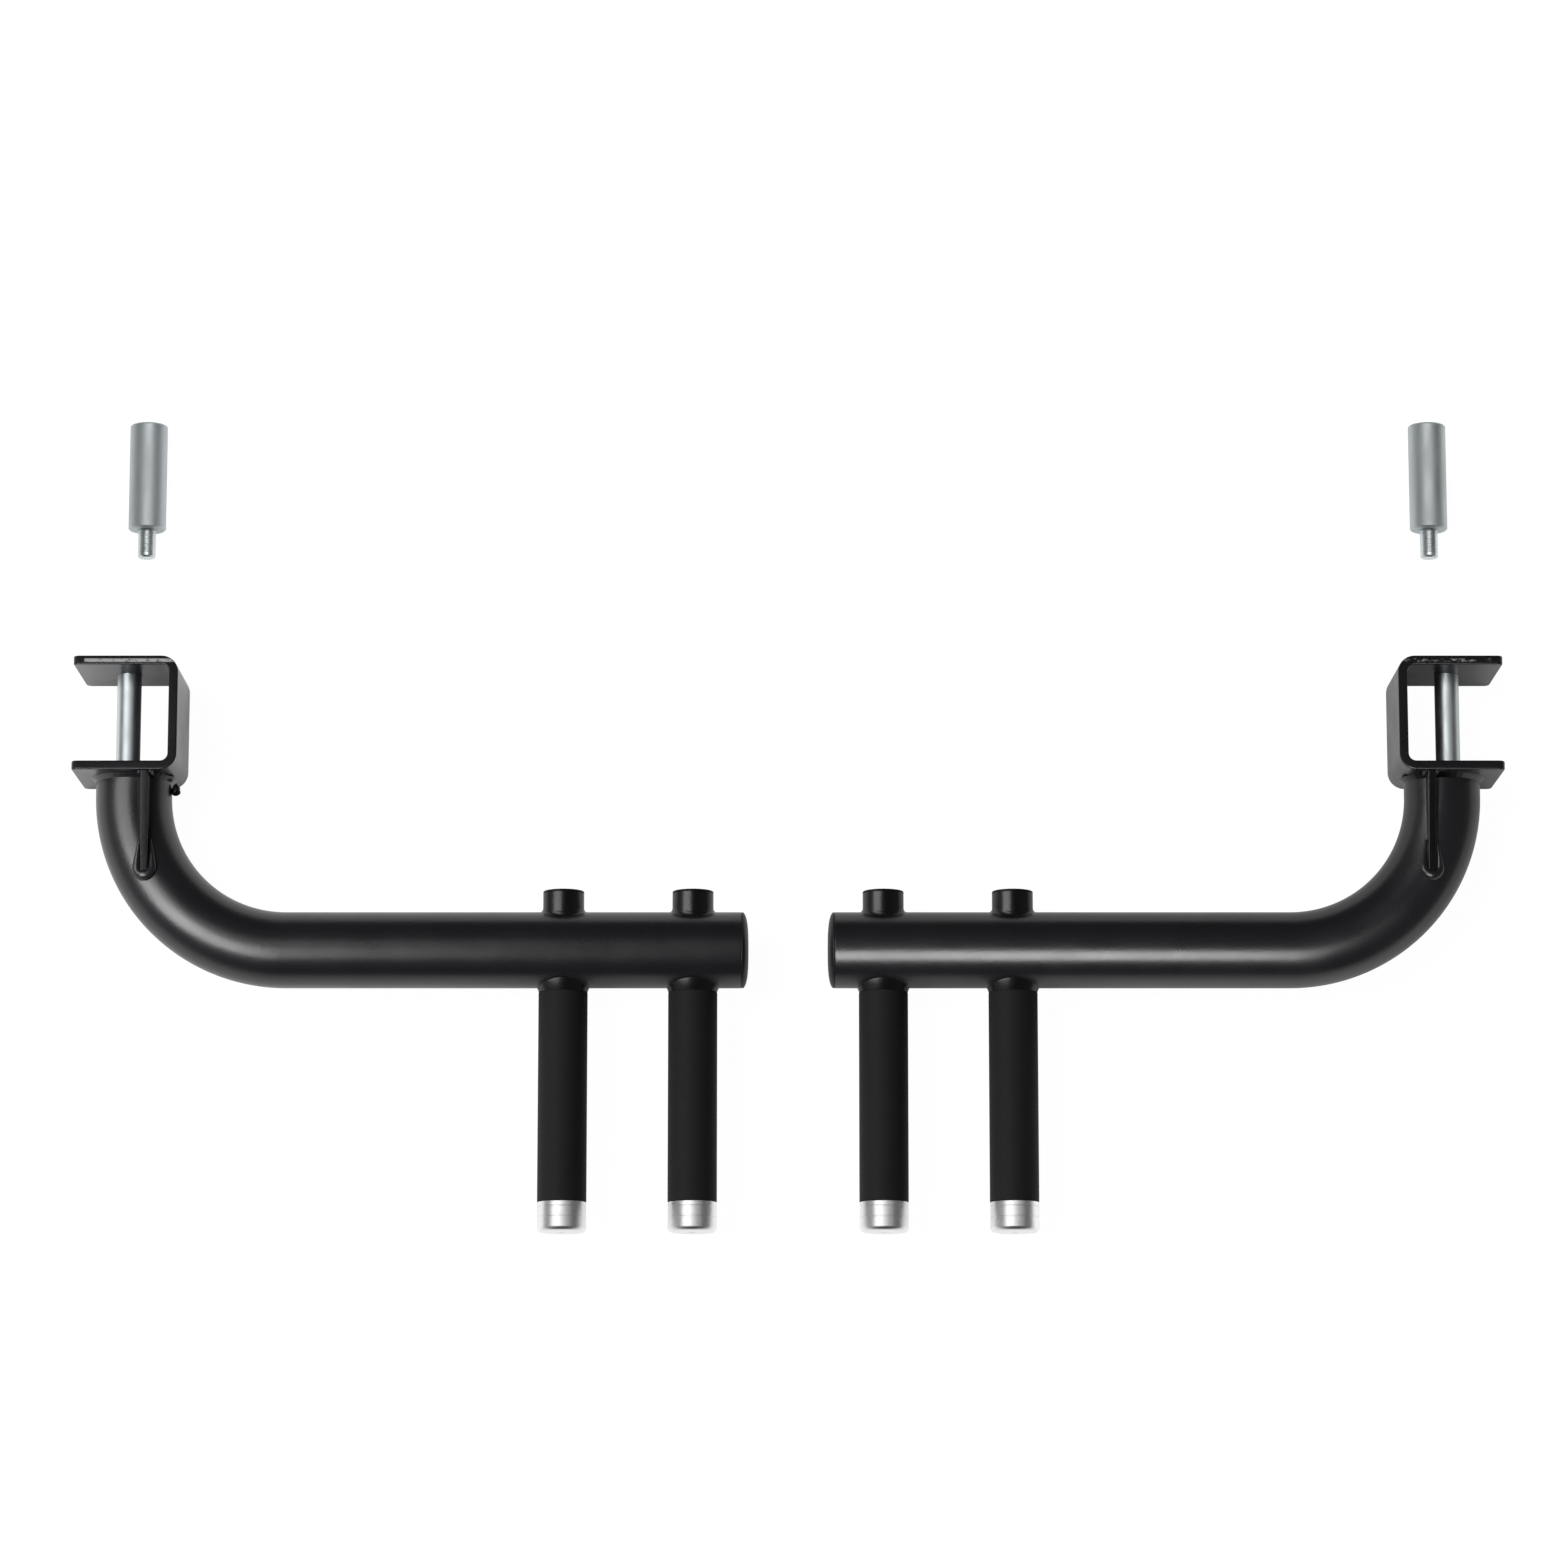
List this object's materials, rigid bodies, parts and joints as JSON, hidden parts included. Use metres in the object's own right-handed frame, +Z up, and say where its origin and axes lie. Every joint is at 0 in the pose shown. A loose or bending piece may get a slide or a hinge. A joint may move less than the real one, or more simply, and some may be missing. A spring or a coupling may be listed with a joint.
{
  "type": "pull-up bar",
  "caption": "Pair of rack-mounted pull-up arms: bent black steel tubes with parallel rubber-sleeved handles, wrap-round brackets, lock pins and thicker spare pins.",
  "frame": {"origin": "centre of the bounding box in X and Y, at the surface that the loose set lies on, which is the height of the brackets' lower edges", "axes": "+X across the rack from the left arm to the right arm, +Y away from the hands towards the rack's back, +Z up along the rack's uprights"},
  "size_m": [0.938, 0.5454, 0.075],
  "materials": {
    "black_powder_coat": "satin black powder coat with a fine texture",
    "black_plastic": "smooth moulded black plastic",
    "grip_rubber": "matte dark grey rubber",
    "polished_aluminium": "turned and polished",
    "bright_zinc": "bright zinc plate",
    "satin_zinc": "satin zinc plate"
  },
  "bodies": {
    "left_arm": {"left_bracket": "black_powder_coat", "left_main_tube": "black_powder_coat", "left_front_gusset": "black_powder_coat", "left_rear_gusset": "black_powder_coat", "left_bracket_weld": "black_powder_coat", "left_handle_welds": "black_powder_coat", "left_tube_plug": "black_plastic", "left_weld_nut": "bright_zinc", "left_inner_handle_tube": "black_powder_coat", "left_outer_handle_tube": "black_powder_coat", "left_inner_stub_plug": "black_plastic", "left_outer_stub_plug": "black_plastic", "left_inner_grip": "grip_rubber", "left_outer_grip": "grip_rubber", "left_inner_end_cap": "polished_aluminium", "left_outer_end_cap": "polished_aluminium"},
    "right_arm": {"right_bracket": "black_powder_coat", "right_main_tube": "black_powder_coat", "right_front_gusset": "black_powder_coat", "right_rear_gusset": "black_powder_coat", "right_bracket_weld": "black_powder_coat", "right_handle_welds": "black_powder_coat", "right_tube_plug": "black_plastic", "right_weld_nut": "bright_zinc", "right_inner_handle_tube": "black_powder_coat", "right_outer_handle_tube": "black_powder_coat", "right_inner_stub_plug": "black_plastic", "right_outer_stub_plug": "black_plastic", "right_inner_grip": "grip_rubber", "right_outer_grip": "grip_rubber", "right_inner_end_cap": "polished_aluminium", "right_outer_end_cap": "polished_aluminium"},
    "left_lock": {"left_lock_pin": "bright_zinc"},
    "right_lock": {"right_lock_pin": "bright_zinc"},
    "left_spare": {"left_spare_pin_body": "satin_zinc", "left_spare_pin_stud": "bright_zinc"},
    "right_spare": {"right_spare_pin_body": "satin_zinc", "right_spare_pin_stud": "bright_zinc"}
  },
  "joints": [
    {"name": "right_arm_spacing", "type": "slide", "parent": "left_arm", "child": "right_arm", "axis": [1, 0, 0], "range_m": [0, 0.25]},
    {"name": "left_pin_draw", "type": "slide", "parent": "left_arm", "child": "left_lock", "axis": [0, 1, 0], "range_m": [0, 0.085]},
    {"name": "right_pin_draw", "type": "slide", "parent": "right_arm", "child": "right_lock", "axis": [0, 1, 0], "range_m": [0, 0.085]},
    {"name": "left_spare_lift", "type": "slide", "parent": "left_arm", "child": "left_spare", "axis": [0, 0, 1], "range_m": [0, 0.1]},
    {"name": "right_spare_lift", "type": "slide", "parent": "left_arm", "child": "right_spare", "axis": [0, 0, 1], "range_m": [0, 0.1]}
  ]
}
